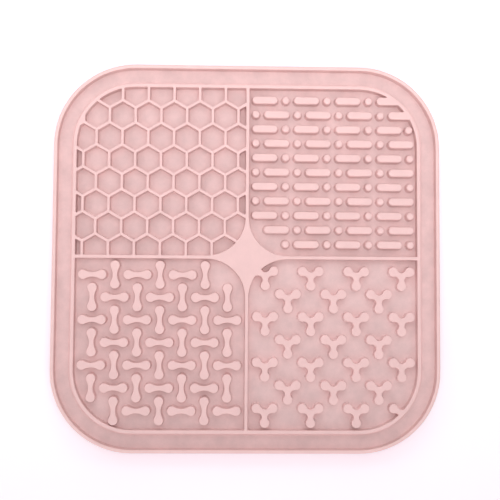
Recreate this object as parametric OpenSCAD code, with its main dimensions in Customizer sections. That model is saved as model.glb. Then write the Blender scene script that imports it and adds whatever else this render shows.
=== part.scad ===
// Square silicone lick mat with four relief fields, a spill channel and suction cups.
// X runs to the right and Y away from the user, and Z is up from the surface that the cups stand on.
// The origin is under the middle of the mat.

/* [Mat] */
// Width and depth of the square mat
mat_w = 200; // [180:1:230]
// Radius of the mat's outer corners
corner_r = 42; // [34:1:52]
// Thickness of the floor sheet
sheet_t = 2; // [1.5:0.1:3.5]
// Height of the frame, dividers, ribs and pegs above the floor sheet
relief_h = 4; // [2.5:0.1:6]
// Radius of the small rounding on the top edges of the walls
edge_r = 0.3; // [0.1:0.05:0.5]

/* [Rim] */
// Width of the raised lip round the edge
lip_w = 1.9; // [1.7:0.1:3]
// Height of the lip above the floor sheet
lip_h = 4; // [2.5:0.1:6]
// Radius of the rounding on the outer edge of the lip
lip_round = 0.9; // [0.4:0.1:1.2]
// Width of the spill channel between the lip and the frame
channel_w = 8.1; // [6:0.1:11]
// Width of the frame round the four fields
frame_w = 1.8; // [1.2:0.1:3]

/* [Dividers] */
// Width of the bars between the fields
divider_w = 1.7; // [1.2:0.1:3]
// Radius of the concave sides of the centre star
star_r = 20; // [16:0.5:23]

/* [Honeycomb] */
// Distance between the middles of neighbouring cells in a row
cell_pitch = 13.32; // [11:0.01:16]
// Width of the ribs
rib_w = 1.4; // [1:0.1:2.2]
// Distance between neighbouring rows over that of a regular honeycomb
cell_row_extra = 0.04; // [0:0.01:0.4]
// Shift of the pattern from the middle of its field away from the star
cell_shift = 0.3; // [0:0.05:1]

/* [Dashes and dots] */
// Length of a dash over its round ends
dash_len = 13.3; // [12:0.1:14]
// Width of a dash and diameter of a dot
dash_w = 3.95; // [3:0.05:4.4]
// Gap between a dash and the dot beside it
dash_gap = 2.2; // [1.6:0.05:2.4]
// Distance between neighbouring rows
dash_row_pitch = 7.52; // [6.5:0.01:9]

/* [Bones] */
// Distance between the middles of neighbouring bones
bone_pitch = 11.55; // [11:0.05:13]
// Length of a bone over its round ends
bone_len = 14.4; // [13:0.1:15]
// Radius of the round ends
bone_end_r = 2.4; // [2.2:0.05:2.7]
// Width of a bone at its waist
bone_waist_w = 2.35; // [1.8:0.05:3.4]
// Shift of the pattern from the middle of its field towards the divider
bone_shift = 0.6; // [0:0.1:1]

/* [Trefoils] */
// Distance between neighbouring trefoils in a row
trefoil_pitch = 23.5; // [21:0.1:27]
// Distance between neighbouring rows, which are staggered by half a pitch
trefoil_row_pitch = 11.68; // [11:0.01:14]
// Shift of the pattern from the middle of its field towards the frame
trefoil_shift = 0.25; // [0:0.05:0.5]
// Distance from the middle of a trefoil to the middle of each lobe
trefoil_reach = 4.95; // [4.2:0.05:5.2]
// Radius of the lobes
trefoil_lobe_r = 2.4; // [2:0.05:2.6]
// Width of a limb at its narrowest
trefoil_neck_w = 2.8; // [2:0.1:3.4]

/* [Suction cups] */
// Number of cups in each row and in each column
cup_rows = 4; // [2:1:5]
// Distance between the middles of neighbouring cups
cup_pitch = 45; // [30:1:46]
// Outer radius of a cup at its rim
cup_r = 9; // [6:0.5:12]
// Height of a cup under the floor sheet
cup_h = 4; // [3:0.1:6]
// Radius of the stem that joins a cup to the floor sheet
cup_stem_r = 4.5; // [3:0.1:5.5]
// Thickness of a cup at its rim
cup_rim_t = 0.7; // [0.4:0.1:1]
// Width of the flat ring that a cup stands on
cup_foot_w = 0.8; // [0.5:0.1:1.5]
// Depth of the hollow in a cup
cup_hollow_h = 2; // [1:0.1:2.6]

/* [Hidden] */
// Least gap that a peg keeps from the star and the frame, where it does not run into them
peg_gap = 0.6;
$fa = 5;
$fs = 0.5;

blush = [0.93, 0.77, 0.76];
blush_light = [0.96, 0.82, 0.81];
blush_deep = [0.88, 0.7, 0.69];

mat_half = mat_w / 2;
// Distance from the middle of the mat to the middle of the rounding that all the rims share
corner_at = mat_half - corner_r;
frame_outer = mat_half - lip_w - channel_w;
field_edge = frame_outer - frame_w;
field_corner_r = field_edge - corner_at;
divider_half = divider_w / 2;
star_at = divider_half + star_r;
field_w = field_edge - divider_half;
field_mid = divider_half + field_w / 2;
floor_z = cup_h + sheet_t;

// Honeycomb: distance between rows, size of a cell, and the number of rows and of cells in a row
cell_row_pitch = cell_pitch * sqrt(3) / 2 + cell_row_extra;
cell_r = (cell_pitch - rib_w) / sqrt(3);
// The upright sides of the far row run this far past the frame's inner side
cell_overrun = 0.35;
cell_rows = ceil((field_w + cell_overrun + cell_r / 2) / cell_row_pitch);
cell_cols = ceil((field_w + 2 * cell_shift) / cell_pitch) + 1;

// The dashes and dots repeat in groups of one dash, a gap, one dot and a gap
dash_pitch = dash_len + dash_w + 2 * dash_gap;
dash_end_r = dash_w / 2;
dash_cols = floor((field_w + dash_gap) / dash_pitch);
dash_rows = floor(field_w / dash_row_pitch);

bone_count = floor((field_w - bone_len) / bone_pitch) + 1;
bone_end_at = bone_len / 2 - bone_end_r;
bone_waist_half = bone_waist_w / 2;
// Radius of the concave sides, which run into the round ends without a corner
bone_side_r = (bone_end_at ^ 2 + bone_waist_half ^ 2 - bone_end_r ^ 2) / (2 * (bone_end_r - bone_waist_half));
bone_side_at = bone_side_r + bone_waist_half;
bone_join_share = bone_end_r / (bone_side_r + bone_end_r);

trefoil_w = 2 * (trefoil_reach + trefoil_lobe_r);
trefoil_cols = floor((field_w - trefoil_w) / trefoil_pitch) + 1;
trefoil_rows = floor((field_w - trefoil_w) / trefoil_row_pitch) + 1;
limb_angles = [90, 210, 330];
// A round crotch runs into the two lobes beside it without a corner. Its middle lies between their limbs.
trefoil_waist = trefoil_lobe_r - trefoil_neck_w / 2;
trefoil_spread = trefoil_reach + sqrt(3) * trefoil_waist;
trefoil_crotch_at = 2 * (trefoil_spread - sqrt(trefoil_spread ^ 2 - trefoil_reach ^ 2 + trefoil_waist ^ 2));
trefoil_crotch_r = trefoil_crotch_at * sqrt(3) / 2 - trefoil_neck_w / 2;
trefoil_join_share = trefoil_lobe_r / (trefoil_crotch_r + trefoil_lobe_r);

cup_hollow_r = cup_r - cup_foot_w;
cup_dome_r = (cup_hollow_r ^ 2 + cup_hollow_h ^ 2) / (2 * cup_hollow_h);
// Radius of the concave flank, which leaves the rim level and meets the sheet at the stem's radius
cup_flank_w = cup_r - cup_stem_r;
cup_flank_h = cup_h - cup_rim_t;
cup_flank_r = (cup_flank_w ^ 2 + cup_flank_h ^ 2) / (2 * cup_flank_h);

// Place number i of count places, spaced evenly about the middle of a field
function place(i, count, pitch) = field_mid + (i - (count - 1) / 2) * pitch;

// Does a round end of radius r at p, in the first quadrant, stay clear of the star?
function clear_of_star(p, r) =
    max(p[0], p[1]) > star_at || norm(p - [star_at, star_at]) + r + peg_gap < star_r;

// Is p inside the frame's round corner, with a radius r to spare?
function inside_frame(p, r = 0) =
    min(p[0], p[1]) < corner_at || norm(p - [corner_at, corner_at]) + r < field_corner_r;

// Does a round end of radius r at p stay clear of the frame's round corner?
function clear_of_frame(p, r) = inside_frame(p, r + peg_gap);

// Carries a section, drawn from the middle of a corner's rounding outwards, once round the mat
module round_the_mat() {
    for (side = [0:3])
        rotate(90 * side)
            translate([corner_at, corner_at, 0]) {
                rotate_extrude(angle = 90)
                    children();
                rotate([90, 0, 0])
                    linear_extrude(2 * corner_at)
                        children();
            }
}

// Section of an upright wall with its two top edges rounded
module wall_section(width, height, inner_round, outer_round) {
    square([inner_round, height - inner_round]);
    translate([inner_round, 0])
        square([width - inner_round - outer_round, height]);
    translate([inner_round, height - inner_round])
        circle(inner_round);
    translate([width - outer_round, 0])
        square([outer_round, height - outer_round]);
    translate([width - outer_round, height - outer_round])
        circle(outer_round);
}

// Square outline with four rounded corners
module rounded_square(half, radius) {
    at = half - radius;
    square([2 * half, 2 * at], center = true);
    square([2 * at, 2 * half], center = true);
    for (x = [-at, at], y = [-at, at])
        translate([x, y])
            circle(radius);
}

// Outline of the field in the first quadrant, rounded at the star and at the frame's corner
module field_outline() {
    polygon([
        [star_at, divider_half],
        [field_edge, divider_half],
        [field_edge, corner_at],
        [corner_at, field_edge],
        [divider_half, field_edge],
        [divider_half, star_at]
    ]);
    translate([star_at, star_at])
        circle(star_r);
    translate([corner_at, corner_at])
        circle(field_corner_r);
}

// Raises a relief from the floor sheet, cut off where the field ends
module relief() {
    translate([0, 0, floor_z])
        linear_extrude(relief_h)
            intersection() {
                field_outline();
                children();
            }
}

module cell() {
    rotate(30)
        circle(cell_r, $fn = 6);
}

// Middle of a cell, with the rows counted from the far side of the field
function cell_middle(row, col) = [
    place(col + (row + 1) % 2 / 2, cell_cols, cell_pitch) + cell_shift,
    field_edge + cell_overrun - cell_r / 2 - row * cell_row_pitch
];

// Does a cell stay clear of a square corner of the field, or take it in whole?
// If it does neither, it would cut the corner's filling off from the ribs.
function spares_corner(p, corner) =
    let (dx = abs(corner[0] - p[0]), dy = abs(corner[1] - p[1]))
    max(dx, dy) > cell_r || max(dx, (dx + sqrt(3) * dy) / 2) < cell_r * sqrt(3) / 2;

// A cell whose middle lies beyond the frame's round corner, by more than the overrun, is filled in
function cell_wanted(p) =
    inside_frame(p, -cell_overrun)
    && spares_corner(p, [field_edge, divider_half])
    && spares_corner(p, [divider_half, field_edge]);

module dash() {
    straight = dash_len - dash_w;
    square([straight, dash_w], center = true);
    for (x = [-straight / 2, straight / 2])
        translate([x, 0])
            circle(dash_end_r);
}

module bone() {
    join_x = bone_end_at * (1 - bone_join_share);
    join_y = bone_side_at * bone_join_share;
    difference() {
        square([2 * join_x, 2 * join_y], center = true);
        for (y = [-bone_side_at, bone_side_at])
            translate([0, y])
                circle(bone_side_r);
    }
    for (x = [-bone_end_at, bone_end_at])
        translate([x, 0])
            circle(bone_end_r);
}

// Point of a limb at [x, y] along and across it
function limb_point(angle, x, y) = [x * cos(angle) - y * sin(angle), x * sin(angle) + y * cos(angle)];

// lobed says which limbs end in a lobe. The others are plain bars past their necks.
module trefoil(lobed) {
    join_x = trefoil_reach * (1 - trefoil_join_share) + trefoil_crotch_at / 2 * trefoil_join_share;
    join_y = trefoil_crotch_at * sqrt(3) / 2 * trefoil_join_share;
    joint = [join_x, join_y];
    neck = [trefoil_crotch_at / 2, trefoil_neck_w / 2];
    difference() {
        polygon([
            for (i = [0:2], side = [-1, 1])
                let (edge = lobed[i] ? joint : neck)
                limb_point(limb_angles[i], edge[0], side * edge[1])
        ]);
        for (angle = limb_angles)
            rotate(angle + 60)
                translate([trefoil_crotch_at, 0])
                    circle(trefoil_crotch_r);
    }
    for (i = [0:2])
        rotate(limb_angles[i])
            if (lobed[i])
                translate([trefoil_reach, 0])
                    circle(trefoil_lobe_r);
            else
                translate([0, -trefoil_neck_w / 2])
                    square([trefoil_reach, trefoil_neck_w]);
}

module cup_section() {
    difference() {
        square([cup_r, cup_h]);
        translate([cup_r, cup_rim_t + cup_flank_r])
            circle(cup_flank_r);
        translate([0, cup_hollow_h - cup_dome_r])
            circle(cup_dome_r);
    }
}

module floor_sheet() {
    color(blush_deep)
        translate([0, 0, cup_h])
            linear_extrude(sheet_t)
                rounded_square(mat_half, corner_r);
}

module outer_lip() {
    color(blush)
        translate([0, 0, floor_z])
            round_the_mat()
                translate([corner_r - lip_w, 0])
                    wall_section(lip_w, lip_h, edge_r, lip_round);
}

module field_frame() {
    color(blush_light)
        translate([0, 0, floor_z])
            round_the_mat()
                translate([field_corner_r, 0])
                    wall_section(frame_w, relief_h, edge_r, edge_r);
}

module dividers() {
    color(blush_light)
        translate([0, 0, floor_z])
            for (side = [0:3])
                rotate(90 * side)
                    translate([star_at, -divider_half, 0])
                        cube([field_edge - star_at, divider_w, relief_h]);
}

module centre_star() {
    color(blush_light)
        translate([0, 0, floor_z])
            linear_extrude(relief_h)
                difference() {
                    square(2 * star_at, center = true);
                    for (x = [-star_at, star_at], y = [-star_at, star_at])
                        translate([x, y])
                            circle(star_r);
                }
}

module honeycomb_ribs() {
    color(blush_light)
        mirror([1, 0, 0])
            relief()
                difference() {
                    square(field_edge);
                    for (row = [0:cell_rows - 1], col = [0:cell_cols - 1])
                        if (cell_wanted(cell_middle(row, col)))
                            translate(cell_middle(row, col))
                                cell();
                }
}

// Rows start in turn with a dash and with a dot, counted from the far side of the field
function dash_start(row) = row % 2 == 0 ? 0 : dash_w + dash_gap;
function dot_start(row) = row % 2 == 0 ? dash_len + dash_gap : 0;
function dash_row_y(row) = place(dash_rows - 1 - row, dash_rows, dash_row_pitch);
function dash_col_x(col) =
    field_mid + (col - dash_cols / 2) * dash_pitch + dash_gap / 2;

module dash_pegs() {
    color(blush_light)
        relief()
            for (row = [0:dash_rows - 1], col = [0:dash_cols - 1]) {
                x = dash_col_x(col) + dash_start(row);
                y = dash_row_y(row);
                near = [x + dash_end_r, y];
                if (clear_of_star(near, dash_end_r) && clear_of_frame(near, dash_end_r))
                    translate([x + dash_len / 2, y])
                        dash();
            }
}

// Furthest that a dot's middle may lie from the divider, in the row at height y
function dot_limit(y) =
    let (reach = field_corner_r - dash_end_r - peg_gap, up = max(0, y - corner_at))
    corner_at + sqrt(max(0, reach ^ 2 - up ^ 2));

// A dot that would touch the frame's round corner moves in, and one that would have to move far is left out
module dot_pegs() {
    color(blush_light)
        relief()
            for (row = [0:dash_rows - 1], col = [0:dash_cols - 1]) {
                x = dash_col_x(col) + dot_start(row) + dash_end_r;
                y = dash_row_y(row);
                middle = [min(x, dot_limit(y)), y];
                if (clear_of_star(middle, dash_end_r) && x - middle[0] < dash_end_r)
                    translate(middle)
                        circle(dash_end_r);
            }
}

// The bones lie across and upright in turn, like the squares of a chessboard
module bones(turn) {
    end = turn == 0 ? [bone_end_at, 0] : [0, bone_end_at];
    for (row = [0:bone_count - 1], col = [0:bone_count - 1])
        if ((row + col + bone_count + turn) % 2 == 1) {
            middle = [
                place(col, bone_count, bone_pitch),
                place(row, bone_count, bone_pitch) - bone_shift
            ];
            if (clear_of_star(middle - end, bone_end_r) && clear_of_frame(middle + end, bone_end_r))
                translate(middle)
                    rotate(90 * turn)
                        bone();
        }
}

module bone_pegs_across() {
    color(blush_light)
        mirror([1, 0, 0])
            mirror([0, 1, 0])
                relief()
                    bones(0);
}

module bone_pegs_upright() {
    color(blush_light)
        mirror([1, 0, 0])
            mirror([0, 1, 0])
                relief()
                    bones(1);
}

// A trefoil's limb whose lobe would lie beyond the frame's round corner runs into the frame as a plain bar
module trefoil_pegs() {
    color(blush_light)
        mirror([0, 1, 0])
            relief()
                for (row = [0:trefoil_rows - 1], col = [0:trefoil_cols - 1 - row % 2]) {
                    middle = [
                        place(col + (row % 2) / 2, trefoil_cols, trefoil_pitch) + trefoil_shift,
                        place(row, trefoil_rows, trefoil_row_pitch)
                    ];
                    translate(middle)
                        trefoil([
                            for (angle = limb_angles)
                                inside_frame(middle + limb_point(angle, trefoil_reach, 0))
                        ]);
                }
}

module suction_cups() {
    color(blush)
        for (row = [0:cup_rows - 1], col = [0:cup_rows - 1])
            translate([
                (col - (cup_rows - 1) / 2) * cup_pitch,
                (row - (cup_rows - 1) / 2) * cup_pitch,
                0
            ])
                rotate_extrude()
                    cup_section();
}

floor_sheet();
outer_lip();
field_frame();
dividers();
centre_star();
honeycomb_ribs();
dash_pegs();
dot_pegs();
bone_pegs_across();
bone_pegs_upright();
trefoil_pegs();
suction_cups();
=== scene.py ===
# Finished surfaces, light and camera for the square silicone lick mat.
# Lengths are in metres. X runs to the right, Y away from the user and Z up from the table.
import math

import bpy
from mathutils import Matrix, Vector
from mathutils.geometry import delaunay_2d_cdt


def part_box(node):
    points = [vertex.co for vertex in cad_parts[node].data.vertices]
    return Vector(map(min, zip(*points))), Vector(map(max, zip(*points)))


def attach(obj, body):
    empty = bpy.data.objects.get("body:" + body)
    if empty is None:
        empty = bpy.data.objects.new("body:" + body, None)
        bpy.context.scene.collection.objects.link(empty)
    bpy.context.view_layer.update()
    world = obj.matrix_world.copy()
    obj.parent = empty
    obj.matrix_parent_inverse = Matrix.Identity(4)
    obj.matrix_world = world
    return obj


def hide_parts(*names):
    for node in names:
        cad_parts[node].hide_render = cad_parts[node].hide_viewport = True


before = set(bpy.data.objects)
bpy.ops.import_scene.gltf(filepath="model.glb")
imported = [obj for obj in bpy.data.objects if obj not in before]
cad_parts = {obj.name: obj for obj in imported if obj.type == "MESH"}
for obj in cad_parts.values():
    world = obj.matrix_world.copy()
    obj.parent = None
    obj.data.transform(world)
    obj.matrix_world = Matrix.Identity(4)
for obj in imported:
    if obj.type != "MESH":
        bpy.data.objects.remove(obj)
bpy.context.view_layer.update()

MM = 0.001

# Moulded edges: their radii, how far a wall's foot stands out, and the faces across a rounding
WALL_EDGE_R = 0.35 * MM
FOOT_R = 0.3 * MM
PEG_FOOT_R = 0.7 * MM
CHANNEL_FOOT_R = 1.5 * MM
DRAFT = 0.06 * MM
LIP_OUTER_R = 0.9 * MM
SHEET_EDGE_R = 0.6 * MM
EDGE_STEPS = 5
FOOT_STEPS = 4

# Painted light and shade on the silicone, as a level for each point: painted shade darkest in a corner and
# on a wall, floors painted darker than tops, and painted highlights palest on a rim and the lip; and the
# colours along it
CORNER_SHADE = 0
WALL_SHADE = 0.05
FLOOR_SHADE = 0.4
TOP_SHADE = 0.7
RIM_SHADE = 0.85
LIP_SHADE = 1
CORNER_PAINTED_SHADE_COLOUR = (0.74, 0.51, 0.5, 1)
FLOOR_PAINTED_SHADE_COLOUR = (0.825, 0.588, 0.583, 1)
TOP_COLOUR = (0.9, 0.6, 0.592, 1)
LIP_PAINTED_HIGHLIGHT_COLOUR = (0.935, 0.635, 0.627, 1)

# Each kind of peg: the radius of its top edge, and the levels of painted shade and light of its foot, its
# side and its rim
PEG_EDGES_AND_PAINTED_SHADES = {
    "dash_pegs": (0.8 * MM, 0, 0.3, 0.7),
    "dot_pegs": (1.0 * MM, 0, 0.3, 0.7),
    "bone_pegs_across": (0.3 * MM, 0.05, 0.6, 1),
    "bone_pegs_upright": (0.3 * MM, 0.05, 0.6, 1),
    "trefoil_pegs": (0.3 * MM, 0.25, 0.6, 1),
}

# Silicone: its gloss, the clouds of dust and the fine grain
SILICONE_IOR = 1.41
SILICONE_SPECULAR = 0.3
SILICONE_ROUGHNESS = (0.5, 0.62)
CLOUD_SCALE = 110
CLOUD_DETAIL = 6
CLOUD_ROUGHNESS = 0.65
CLOUD_RANGE = (0.35, 0.65)
CLOUD_TINT = (0.93, 1.06)
DUST_FROM_FLOOR_TO_TOP = (1, 0.4)
GRAIN_SCALE = 4000
GRAIN_DETAIL = 2
GRAIN_ROUGHNESS = 0.5
GRAIN_STRENGTH = 0.15
GRAIN_DEPTH = 0.02 * MM

# Plan outlines: corners and how finely they turn
HOLLOW_CORNER_R = 0.4 * MM
PROUD_CORNER_R = 0.5 * MM
CORNER_SIDE_SHARE = 0.45
CORNER_STEP = math.radians(15)
LEAST_CORNER_STEPS = 2
SHARP_TURN = math.radians(22)
STRAIGHT_TURN = math.radians(0.4)

# Plan outlines: the least that counts, and how closely points are joined
LEAST_STEP = 0.04 * MM
LEAST_AREA = 0.2 * MM * MM
LEAST_MITER_COS = 0.45
LEAST_NORMAL = 1e-6
SEAM_OVERLAP = 0.04 * MM
FLATNESS = 0.01 * MM
WELD = 0.0005 * MM
CUT_WELD = WELD / 10
FILL_WELD = 1e-9

# Suction cups
CUP_SEGMENTS = 72
CUP_STEPS = 12
CUP_RIM_T = 0.7 * MM
CUP_FOOT_W = 0.8 * MM
CUP_HOLLOW_SHARE = 0.5
CUP_STEM_SHARE = 0.5
CUP_TOP_REACH = 12 * MM

# Camera, for a square picture
CAMERA_AT = Vector((-8.83, -17.87, 421.28)) * MM
CAMERA_TURN = [math.radians(3.005), math.radians(-1.462), math.radians(0.37)]
SENSOR_W = 36
LENS = 57.6
CLIP_START = 10 * MM

# Table, with the glow that brings it up to white near the mat and further out, and those two radii
TABLE_HALF = 1.5
TABLE_GREY = 0.93
# Near the mat the glow is tinted pink, a painted pink bounce of light in the mat's shadow on the table.
GLOW_NEAR_PAINTED_PINK = (0.31, 0.2, 0.27, 1)
GLOW_FAR = (0.65, 0.65, 0.65, 1)
GLOW_RADII = (180 * MM, 450 * MM)

# Studio: lamps as (name, place, width, depth, watts), and the light of the room from the user's side
LAMPS = [
    ("overhead", Vector((0, 0, 600)) * MM, 400 * MM, 400 * MM, 0.925),
    ("strip", Vector((0, 140, 260)) * MM, 900 * MM, 120 * MM, 0.493),
    ("far_strip", Vector((0, 240, 160)) * MM, 900 * MM, 120 * MM, 0.251),
    ("window", Vector((0, 900, 450)) * MM, 700 * MM, 700 * MM, 1.5),
    ("left", Vector((-900, 0, 450)) * MM, 700 * MM, 700 * MM, 1.34),
    ("right", Vector((300, 0, 500)) * MM, 400 * MM, 400 * MM, 0.176),
]
ROOM_SIDE = Vector((0, -1, 0))
ROOM_LEVEL = 1.525

# Blender's numbers for the colour sockets of a mix node and for a triangulation of the whole hull
MIX_A = 6
MIX_B = 7
MIX_RESULT = 2
WHOLE_HULL = 0

WALL_NODES = ["field_frame", "dividers", "centre_star", "honeycomb_ribs"]
PEG_NODES = list(PEG_EDGES_AND_PAINTED_SHADES)

floor_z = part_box("field_frame")[0].z
relief_top_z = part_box("field_frame")[1].z
lip_top_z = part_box("outer_lip")[1].z
sheet_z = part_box("floor_sheet")[0].z


# Outlines in plan


def footprint(node):
    """Points and triangles, seen from above, of the face that a CAD node stands on."""
    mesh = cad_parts[node].data
    low = min(v.co.z for v in mesh.vertices)
    points = []
    found = {}
    triangles = []
    for face in mesh.polygons:
        corners = [mesh.vertices[i].co for i in face.vertices]
        if max(c.z for c in corners) > low + FLATNESS:
            continue
        ids = []
        for c in corners:
            key = (round(c.x / WELD), round(c.y / WELD))
            if key not in found:
                found[key] = len(points)
                points.append(Vector((c.x, c.y)))
            ids.append(found[key])
        if signed_area([points[i] for i in ids]) < 0:
            ids.reverse()
        if len(set(ids)) == len(ids):
            triangles.append(ids)
    return points, triangles


def signed_area(loop):
    return sum(a.cross(b) for a, b in zip(loop, loop[1:] + loop[:1])) / 2


def boundary_loops(triangles):
    """Loops of point numbers round a set of triangles, with the triangles on their left."""
    edges = set()
    for t in triangles:
        for a, b in zip(t, t[1:] + t[:1]):
            if (b, a) in edges:
                edges.remove((b, a))
            else:
                edges.add((a, b))
    after = {}
    for a, b in sorted(edges):
        after.setdefault(a, []).append(b)
    loops = []
    while after:
        start = min(after)
        loop = [start]
        here = after[start].pop()
        while here != start:
            loop.append(here)
            here = after[here].pop()
        after = {a: ends for a, ends in after.items() if ends}
        loops.append(loop)
    return loops


def outward(loop):
    """For each point of a loop, the step that moves its two sides out by one unit."""
    steps = []
    count = len(loop)
    for i in range(count):
        before = (loop[i] - loop[i - 1]).normalized()
        behind = (loop[(i + 1) % count] - loop[i]).normalized()
        normal = Vector((before.y + behind.y, -before.x - behind.x))
        if normal.length < LEAST_NORMAL:
            normal = Vector((before.y, -before.x))
        normal.normalize()
        cosine = normal.dot(Vector((before.y, -before.x)))
        steps.append((normal, 1 / max(cosine, LEAST_MITER_COS)))
    return steps


def moved(loop, distance):
    return [p + n * (stretch * distance) for p, (n, stretch) in zip(loop, outward(loop))]


def turn_at(loop, i):
    before = loop[i] - loop[i - 1]
    behind = loop[(i + 1) % len(loop)] - loop[i]
    return math.atan2(before.cross(behind), before.dot(behind))


def cleaned(loop):
    """The loop without near-double points and points along a straight side."""
    spaced = []
    for p in loop:
        if not spaced or (p - spaced[-1]).length > LEAST_STEP:
            spaced.append(p)
    while len(spaced) > 3 and (spaced[0] - spaced[-1]).length <= LEAST_STEP:
        spaced.pop()
    return [p for i, p in enumerate(spaced) if abs(turn_at(spaced, i)) > STRAIGHT_TURN]


def rounded(loop):
    """The loop with its sharp corners rounded."""
    result = []
    for i, p in enumerate(loop):
        turn = turn_at(loop, i)
        if abs(turn) < SHARP_TURN:
            result.append(p)
            continue
        radius = PROUD_CORNER_R if turn > 0 else HOLLOW_CORNER_R
        before = loop[i - 1] - p
        behind = loop[(i + 1) % len(loop)] - p
        shorter = min(before.length, behind.length)
        cut = min(radius * math.tan(abs(turn) / 2), CORNER_SIDE_SHARE * shorter)
        radius = cut / math.tan(abs(turn) / 2)
        start = p + before.normalized() * cut
        side = Vector((before.y, -before.x)).normalized() * (radius if turn > 0 else -radius)
        centre = start + side
        arm = start - centre
        steps = max(LEAST_CORNER_STEPS, math.ceil(abs(turn) / CORNER_STEP))
        for k in range(steps + 1):
            result.append(centre + Matrix.Rotation(turn * k / steps, 2) @ arm)
    return result


def connected(faces):
    """The faces in groups that hang together by their edges, as lists of their numbers."""
    group = list(range(len(faces)))

    def root(i):
        while group[i] != i:
            group[i] = group[group[i]]
            i = group[i]
        return i

    seen = {}
    for i, face in enumerate(faces):
        for a, b in zip(face, face[1:] + face[:1]):
            key = (min(a, b), max(a, b))
            if key in seen:
                group[root(i)] = root(seen[key])
            seen[key] = i
    members = {}
    for i in range(len(faces)):
        members.setdefault(root(i), []).append(i)
    return list(members.values())


def joined_footprints(nodes):
    """The footprints of the nodes, joined where they meet: a list of (owners, loops)."""
    points = []
    triangles = []
    owners = []
    for node in nodes:
        own_points, own_triangles = footprint(node)
        for loop in boundary_loops(own_triangles):
            grown = moved([own_points[i] for i in loop], SEAM_OVERLAP)
            for i, p in zip(loop, grown):
                own_points[i] = p
        first = len(points)
        points += own_points
        triangles += [[first + i for i in t] for t in own_triangles]
        owners += [node] * len(own_triangles)
    cut = delaunay_2d_cdt(points, [], triangles, WHOLE_HULL, CUT_WELD)
    cut_points, _, cut_faces, _, _, cut_sources = cut
    faces = [list(face) for face, source in zip(cut_faces, cut_sources) if source]
    sources = [source for source in cut_sources if source]
    islands = []
    for ids in connected(faces):
        names = {owners[s] for i in ids for s in sources[i]}
        loops = []
        for ring in boundary_loops([faces[i] for i in ids]):
            loop = cleaned(moved([Vector(cut_points[i]) for i in ring], -SEAM_OVERLAP))
            if len(loop) > 2 and abs(signed_area(loop)) > LEAST_AREA:
                loops.append(rounded(loop))
        islands.append((names, loops))
    return islands


# Solids from outlines


def filled(loops):
    """Triangles between an outer loop and its holes, as indices into all their points in turn."""
    points = [p for loop in loops for p in loop]
    faces = []
    first = 0
    for loop in loops:
        ids = list(range(first, first + len(loop)))
        faces.append(ids if signed_area(loop) > 0 else ids[::-1])
        first += len(loop)
    hollow = {i for i, loop in enumerate(loops) if signed_area(loop) < 0}
    cut = delaunay_2d_cdt(points, [], faces, WHOLE_HULL, FILL_WELD)
    _, _, cut_faces, point_sources, _, face_sources = cut
    back = {i: source[0] for i, source in enumerate(point_sources) if source}
    triangles = []
    for face, source in zip(cut_faces, face_sources):
        if source and not hollow.intersection(source) and all(i in back for i in face):
            triangles.append([back[i] for i in face])
    return triangles


class Shell:
    """Points with their level of painted shade, faces, and the surface's direction at each corner of each
    face.
    """

    def __init__(self):
        self.points = []
        self.shades = []
        self.faces = []
        self.normals = []

    def add_points(self, points, shade):
        first = len(self.points)
        self.points += points
        self.shades += [shade] * len(points)
        return first

    def add_face(self, ids, normals):
        self.faces.append(ids)
        self.normals += normals

    def rise(self, loops, sections):
        """Carries each loop's own section round it, and fills the lowest and the highest loops.

        A section is a list of (step outwards, height, slope, level of painted shade), as long for every
        loop.
        """
        lowest = []
        highest = []
        for loop, section in zip(loops, sections):
            count = len(loop)
            directions = [n for n, _ in outward(loop)]
            starts = []
            for step, height, _, shade in section:
                ring = [Vector((p.x, p.y, height)) for p in moved(loop, step)]
                starts.append(self.add_points(ring, shade))
            for k in range(len(section) - 1):
                low, high = starts[k], starts[k + 1]
                for a in range(count):
                    b = (a + 1) % count
                    tilted = [(a, k), (b, k), (b, k + 1), (a, k + 1)]
                    normals = [slanted(directions[j], section[m][2]) for j, m in tilted]
                    self.add_face([low + a, low + b, high + b, high + a], normals)
            lowest += range(starts[0], starts[0] + count)
            highest += range(starts[-1], starts[-1] + count)
        for t in filled(loops):
            self.add_face([lowest[i] for i in reversed(t)], [Vector((0, 0, -1))] * 3)
            self.add_face([highest[i] for i in t], [Vector((0, 0, 1))] * 3)

    def turn(self, centre, section, count):
        """Turns a closed section of (radius, height, slope, level of painted shade) round an upright line.
        """
        rings = []
        for radius, height, _, shade in section:
            if radius > 0:
                angles = [2 * math.pi * i / count for i in range(count)]
                ring = [(centre.x + radius * math.cos(a), centre.y + radius * math.sin(a)) for a in angles]
            else:
                ring = [(centre.x, centre.y)]
            rings.append((self.add_points([Vector((x, y, height)) for x, y in ring], shade), len(ring)))
        for k in range(len(section) - 1):
            (low, low_count), (high, high_count) = rings[k], rings[k + 1]
            for i in range(count):
                j = (i + 1) % count
                sides = [(i, k, low, low_count), (j, k, low, low_count)]
                sides += [(j, k + 1, high, high_count), (i, k + 1, high, high_count)]
                ids = []
                normals = []
                for at, level, start, size in sides:
                    number = start + at % size
                    if number in ids:
                        continue
                    angle = 2 * math.pi * at / count
                    ids.append(number)
                    normals.append(slanted(Vector((math.cos(angle), math.sin(angle))), section[level][2]))
                self.add_face(ids, normals)

    def piece(self, name):
        mesh = bpy.data.meshes.new(name)
        mesh.from_pydata([p[:] for p in self.points], [], self.faces)
        mesh.polygons.foreach_set("use_smooth", [True] * len(mesh.polygons))
        mesh.normals_split_custom_set([n[:] for n in self.normals])
        # Each point's level of painted shade and painted highlight, which the silicone's colour follows
        mesh.attributes.new("shade", "FLOAT", "POINT").data.foreach_set("value", self.shades)
        obj = bpy.data.objects.new(name, mesh)
        bpy.context.scene.collection.objects.link(obj)
        return obj


def slanted(direction, slope):
    """A unit vector that leans from the plan direction up by the angle slope."""
    flat = direction * math.cos(slope)
    return Vector((flat.x, flat.y, math.sin(slope)))


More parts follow.
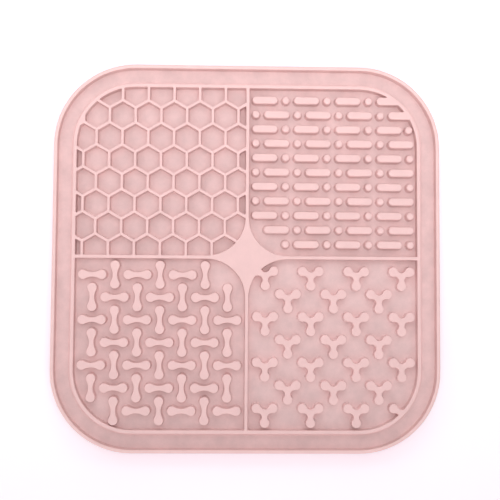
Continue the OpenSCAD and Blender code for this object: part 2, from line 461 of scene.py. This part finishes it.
def foot_section(step, height, radius=FOOT_R, corner_shade=CORNER_SHADE):
    """Hollow rounding from a floor up to a wall, whose foot is step outwards, by default with painted shade
    in the corner.
    """
    section = []
    for k in range(FOOT_STEPS + 1):
        t = math.pi / 2 * k / FOOT_STEPS
        out = step + radius * (1 - math.sin(t))
        shade = corner_shade if k else FLOOR_SHADE
        section.append((out, height + radius * (1 - math.cos(t)), math.pi / 2 - t, shade))
    return section


def edge_section(step, top, radius, shades=(WALL_SHADE, RIM_SHADE, TOP_SHADE)):
    """Proud rounding from a wall at step outwards to the flat top inside it, by default with painted shade
    on the wall and a painted highlight on the rim.
    """
    wall_shade, rim_shade, top_shade = shades
    section = []
    for k in range(EDGE_STEPS + 1):
        t = math.pi / 2 * k / EDGE_STEPS
        shade = {0: wall_shade, EDGE_STEPS: top_shade}.get(k, rim_shade)
        section.append((step - radius * (1 - math.cos(t)), top - radius * (1 - math.sin(t)), t, shade))
    return section


# Field walls: painted shade in the foot and on the side, and a painted highlight on the rim.
def wall_section():
    return foot_section(DRAFT, floor_z) + edge_section(0, relief_top_z, WALL_EDGE_R)


def peg_section(name):
    """Side of a peg, painted paler than a wall as painted light, with painted shade in its foot and the rim
    of its kind.
    """
    edge_r, corner_shade, side_shade, rim_shade = PEG_EDGES_AND_PAINTED_SHADES[name]
    foot = foot_section(DRAFT, floor_z, PEG_FOOT_R, corner_shade)
    return foot + edge_section(0, relief_top_z, edge_r, (side_shade, rim_shade, TOP_SHADE))


def channel_side_section():
    """Outer side of the frame, which runs down into the spill channel in a wide rounding. Its rounding and
    side are painted as pale as a top, painted light where the wall's shade falls in the channel, with a
    painted highlight on its rim.
    """
    foot = foot_section(DRAFT, floor_z, CHANNEL_FOOT_R, TOP_SHADE)
    return foot + edge_section(0, relief_top_z, WALL_EDGE_R, (TOP_SHADE, RIM_SHADE, TOP_SHADE))


def make_relief():
    """The walls, with the pegs that run into them, and one piece for each kind of peg."""
    shells = {name: Shell() for name in ["relief_walls"] + PEG_NODES}
    reached = set()
    inside = wall_section()
    outside = channel_side_section()
    for names, loops in joined_footprints(WALL_NODES + PEG_NODES):
        if names.intersection(WALL_NODES):
            sections = [outside if signed_area(loop) > 0 else inside for loop in loops]
            shells["relief_walls"].rise(loops, sections)
            reached |= names
        else:
            name = sorted(names)[0]
            shells[name].rise(loops, [peg_section(name)] * len(loops))
    pieces = {name: shell.piece(name + "_moulded") for name, shell in shells.items()}
    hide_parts(*sorted(reached))
    for name in PEG_NODES:
        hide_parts(name)
    return list(pieces.values())


def facing_in(section, width):
    """The section of an outer side, turned round for the inner side of a wall of that width."""
    return [(-width - step, z, math.pi - slope, shade) for step, z, slope, shade in reversed(section)]


def lip_width():
    points, triangles = footprint("outer_lip")
    reaches = [max(points[i].x for i in loop) for loop in boundary_loops(triangles)]
    return max(reaches) - min(reaches)


def underside_section():
    """Proud rounding from the flat underside of the sheet up to its outer side."""
    section = []
    for k in range(EDGE_STEPS + 1):
        t = math.pi / 2 * k / EDGE_STEPS
        step = -SHEET_EDGE_R * (1 - math.sin(t))
        section.append((step, sheet_z + SHEET_EDGE_R * (1 - math.cos(t)), t - math.pi / 2, TOP_SHADE))
    return section


def make_tray():
    """The floor sheet with its lip, as one moulded tray."""
    points, triangles = footprint("floor_sheet")
    outline = [cleaned([points[i] for i in loop]) for loop in boundary_loops(triangles)]
    lip_w = lip_width()
    bottom = underside_section()
    # The lip's top and outer rounding carry a painted highlight; its inner side and the groove at its foot
    # carry painted shade.
    outer = edge_section(0, lip_top_z, LIP_OUTER_R, (TOP_SHADE, LIP_SHADE, LIP_SHADE))
    inner = facing_in(edge_section(0, lip_top_z, WALL_EDGE_R, (WALL_SHADE, LIP_SHADE, LIP_SHADE)), lip_w)
    foot = facing_in(foot_section(DRAFT, floor_z), lip_w)
    shell = Shell()
    shell.rise(outline, [bottom + outer + inner + foot] * len(outline))
    tray = shell.piece("mat_tray")
    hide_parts("floor_sheet", "outer_lip")
    return tray


def cup_middles():
    """Middle and radius of each suction cup, from the separate solids of the CAD node."""
    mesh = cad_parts["suction_cups"].data
    high = max(v.co.z for v in mesh.vertices)
    reach = max(v.co.x for v in mesh.vertices)
    tops = [v.co for v in mesh.vertices if v.co.z > high - FLATNESS]
    groups = []
    for p in tops:
        for g in groups:
            if (g[0] - p).length < CUP_TOP_REACH:
                g.append(p)
                break
        else:
            groups.append([p])
    middles = []
    for g in groups:
        x = (min(p.x for p in g) + max(p.x for p in g)) / 2
        y = (min(p.y for p in g) + max(p.y for p in g)) / 2
        middles.append(Vector((x, y)))
    radius = reach - max(m.x for m in middles)
    return middles, radius


def cup_section(radius, height):
    """Closed section of a suction cup, from the middle of its hollow round to the middle of its top."""
    hollow_r = radius - CUP_FOOT_W
    hollow_h = height * CUP_HOLLOW_SHARE
    dome_r = (hollow_r ** 2 + hollow_h ** 2) / (2 * hollow_h)
    sweep = math.asin(hollow_r / dome_r)
    section = []
    for k in range(CUP_STEPS):
        t = sweep * k / CUP_STEPS
        z = hollow_h - dome_r * (1 - math.cos(t))
        section.append((dome_r * math.sin(t), z, -math.pi / 2 - t, TOP_SHADE))
    section.append((hollow_r, 0, -math.pi / 2, TOP_SHADE))
    rim_r = CUP_RIM_T / 2
    for k in range(EDGE_STEPS + 1):
        t = math.pi * k / EDGE_STEPS
        out = radius - rim_r + rim_r * math.sin(t)
        section.append((out, rim_r - rim_r * math.cos(t), t - math.pi / 2, TOP_SHADE))
    stem_r = radius * CUP_STEM_SHARE
    flank_w = radius - rim_r - stem_r
    flank_h = height - CUP_RIM_T
    flank_r = (flank_w ** 2 + flank_h ** 2) / (2 * flank_h)
    sweep = math.asin(min(1, flank_w / flank_r))
    for k in range(1, CUP_STEPS + 1):
        t = sweep * k / CUP_STEPS
        out = radius - rim_r - flank_r * math.sin(t)
        section.append((out, CUP_RIM_T + flank_r * (1 - math.cos(t)), math.pi / 2 - t, TOP_SHADE))
    section.append((0, height, math.pi / 2, TOP_SHADE))
    return section


def make_cups():
    middles, radius = cup_middles()
    shell = Shell()
    for middle in middles:
        shell.turn(middle, cup_section(radius, sheet_z), CUP_SEGMENTS)
    cups = shell.piece("suction_cups_moulded")
    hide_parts("suction_cups")
    return cups


# Materials


def new_material(name):
    material = bpy.data.materials.new(name)
    material.use_nodes = True
    nodes = material.node_tree.nodes
    nodes.clear()
    return material, nodes, material.node_tree.links


def noise(nodes, links, place, scale, detail, roughness):
    """Height of a noise that is fixed to the piece."""
    texture = nodes.new("ShaderNodeTexNoise")
    texture.inputs["Scale"].default_value = scale
    texture.inputs["Detail"].default_value = detail
    texture.inputs["Roughness"].default_value = roughness
    links.new(place.outputs["Object"], texture.inputs["Vector"])
    return texture.outputs["Fac"]


def mapped(nodes, links, value, given, wanted):
    """A node that carries a value over from the given range to the wanted one."""
    node = nodes.new("ShaderNodeMapRange")
    node.inputs["From Min"].default_value = given[0]
    node.inputs["From Max"].default_value = given[1]
    node.inputs["To Min"].default_value = wanted[0]
    node.inputs["To Max"].default_value = wanted[1]
    links.new(value, node.inputs["Value"])
    return node


def silicone_colour(nodes, links, shade, cloud):
    """Pink along the levels of painted shade and highlight, under dust that lies thicker down on the floor.
    """
    ramp = nodes.new("ShaderNodeValToRGB")
    stops = ramp.color_ramp.elements
    stops.new(FLOOR_SHADE)
    stops.new(TOP_SHADE)
    for stop, colour in zip(stops, (CORNER_PAINTED_SHADE_COLOUR, FLOOR_PAINTED_SHADE_COLOUR, TOP_COLOUR, LIP_PAINTED_HIGHLIGHT_COLOUR)):
        stop.color = colour
    links.new(shade, ramp.inputs["Fac"])
    settled = mapped(nodes, links, shade, (FLOOR_SHADE, TOP_SHADE), DUST_FROM_FLOOR_TO_TOP)
    tint = mapped(nodes, links, cloud, CLOUD_RANGE, CLOUD_TINT)
    dust = nodes.new("ShaderNodeMix")
    dust.data_type = "RGBA"
    dust.blend_type = "MULTIPLY"
    links.new(settled.outputs["Result"], dust.inputs["Factor"])
    links.new(ramp.outputs["Color"], dust.inputs[MIX_A])
    links.new(tint.outputs["Result"], dust.inputs[MIX_B])
    return dust.outputs[MIX_RESULT]


def silicone_material():
    """Matt dusty pink silicone with a fine moulded grain, faint dust, and painted shade and highlights that
    follow the shade attribute.
    """
    material, nodes, links = new_material("silicone")
    output = nodes.new("ShaderNodeOutputMaterial")
    shader = nodes.new("ShaderNodeBsdfPrincipled")
    links.new(shader.outputs[0], output.inputs[0])
    shader.inputs["IOR"].default_value = SILICONE_IOR
    shader.inputs["Specular IOR Level"].default_value = SILICONE_SPECULAR
    place = nodes.new("ShaderNodeTexCoord")
    shade = nodes.new("ShaderNodeAttribute")
    shade.attribute_name = "shade"
    cloud = noise(nodes, links, place, CLOUD_SCALE, CLOUD_DETAIL, CLOUD_ROUGHNESS)
    links.new(silicone_colour(nodes, links, shade.outputs["Fac"], cloud), shader.inputs["Base Color"])
    rough = mapped(nodes, links, cloud, (0, 1), SILICONE_ROUGHNESS)
    links.new(rough.outputs["Result"], shader.inputs["Roughness"])
    bump = nodes.new("ShaderNodeBump")
    bump.inputs["Strength"].default_value = GRAIN_STRENGTH
    bump.inputs["Distance"].default_value = GRAIN_DEPTH
    links.new(noise(nodes, links, place, GRAIN_SCALE, GRAIN_DETAIL, GRAIN_ROUGHNESS), bump.inputs["Height"])
    links.new(bump.outputs["Normal"], shader.inputs["Normal"])
    return material


def shows_background(nodes, links):
    """1 for the rays that show the background, which are those of the camera, of gloss and of glass."""
    path = nodes.new("ShaderNodeLightPath")
    mirrored = nodes.new("ShaderNodeMath")
    mirrored.operation = "MAXIMUM"
    links.new(path.outputs["Is Glossy Ray"], mirrored.inputs[0])
    links.new(path.outputs["Is Transmission Ray"], mirrored.inputs[1])
    shown = nodes.new("ShaderNodeMath")
    shown.operation = "MAXIMUM"
    links.new(path.outputs["Is Camera Ray"], shown.inputs[0])
    links.new(mirrored.outputs[0], shown.inputs[1])
    return shown.outputs[0]


def table_glow(nodes, links):
    """The table's own glow, from its tint near the mat to plain white further out. The pink of that tint
    shows in the mat's shadow on the table as a painted pink bounce of light.
    """
    place = nodes.new("ShaderNodeTexCoord")
    radius = nodes.new("ShaderNodeVectorMath")
    radius.operation = "LENGTH"
    links.new(place.outputs["Object"], radius.inputs[0])
    far = mapped(nodes, links, radius.outputs["Value"], GLOW_RADII, (0, 1))
    far.interpolation_type = "SMOOTHSTEP"
    colour = nodes.new("ShaderNodeMix")
    colour.data_type = "RGBA"
    colour.inputs[MIX_A].default_value = GLOW_NEAR_PAINTED_PINK
    colour.inputs[MIX_B].default_value = GLOW_FAR
    links.new(far.outputs["Result"], colour.inputs["Factor"])
    glow = nodes.new("ShaderNodeEmission")
    links.new(colour.outputs[MIX_RESULT], glow.inputs["Color"])
    links.new(shows_background(nodes, links), glow.inputs["Strength"])
    return glow


def table_material():
    """White table that shows plain white to the camera and keeps the mat's shadow."""
    material, nodes, links = new_material("white_table")
    output = nodes.new("ShaderNodeOutputMaterial")
    paint = nodes.new("ShaderNodeBsdfDiffuse")
    paint.inputs["Color"].default_value = (TABLE_GREY, TABLE_GREY, TABLE_GREY, 1)
    both = nodes.new("ShaderNodeAddShader")
    links.new(paint.outputs[0], both.inputs[0])
    links.new(table_glow(nodes, links).outputs[0], both.inputs[1])
    links.new(both.outputs[0], output.inputs[0])
    return material


# Studio


def make_table():
    mesh = bpy.data.meshes.new("table")
    h = TABLE_HALF
    mesh.from_pydata([(-h, -h, 0), (h, -h, 0), (h, h, 0), (-h, h, 0)], [], [(0, 1, 2, 3)])
    mesh.materials.append(table_material())
    table = bpy.data.objects.new("table", mesh)
    bpy.context.scene.collection.objects.link(table)


def make_lamps():
    """Lamps that all face the middle of the mat."""
    for name, at, width, depth, watts in LAMPS:
        lamp = bpy.data.lights.new(name, "AREA")
        lamp.shape = "RECTANGLE"
        lamp.size = width
        lamp.size_y = depth
        lamp.energy = watts
        holder = bpy.data.objects.new(name, lamp)
        holder.location = at
        holder.rotation_euler = at.to_track_quat("Z", "Y").to_euler()
        bpy.context.scene.collection.objects.link(holder)


def make_room():
    """Soft light from one side of a pale room, which itself shows as plain white."""
    world = bpy.data.worlds.new("studio")
    world.use_nodes = True
    nodes = world.node_tree.nodes
    links = world.node_tree.links
    background = nodes["Background"]
    background.inputs["Color"].default_value = (1, 1, 1, 1)
    place = nodes.new("ShaderNodeTexCoord")
    facing = nodes.new("ShaderNodeVectorMath")
    facing.operation = "DOT_PRODUCT"
    facing.inputs[1].default_value = ROOM_SIDE * ROOM_LEVEL
    links.new(place.outputs["Generated"], facing.inputs[0])
    lit = nodes.new("ShaderNodeMath")
    lit.operation = "MAXIMUM"
    lit.inputs[1].default_value = 0
    links.new(facing.outputs["Value"], lit.inputs[0])
    seen = nodes.new("ShaderNodeMix")
    links.new(shows_background(nodes, links), seen.inputs["Factor"])
    links.new(lit.outputs[0], seen.inputs["A"])
    seen.inputs["B"].default_value = 1
    links.new(seen.outputs["Result"], background.inputs["Strength"])
    bpy.context.scene.world = world


def make_camera():
    lens = bpy.data.cameras.new("camera")
    lens.sensor_width = SENSOR_W
    lens.lens = LENS
    lens.clip_start = CLIP_START
    camera = bpy.data.objects.new("camera", lens)
    camera.location = CAMERA_AT
    camera.rotation_euler = CAMERA_TURN
    bpy.context.scene.collection.objects.link(camera)
    bpy.context.scene.camera = camera


make_camera()
make_lamps()
make_room()
make_table()
silicone = silicone_material()
for piece in make_relief() + [make_tray(), make_cups()]:
    piece.data.materials.append(silicone)
    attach(piece, "root")

bpy.context.scene.view_settings.view_transform = "Standard"
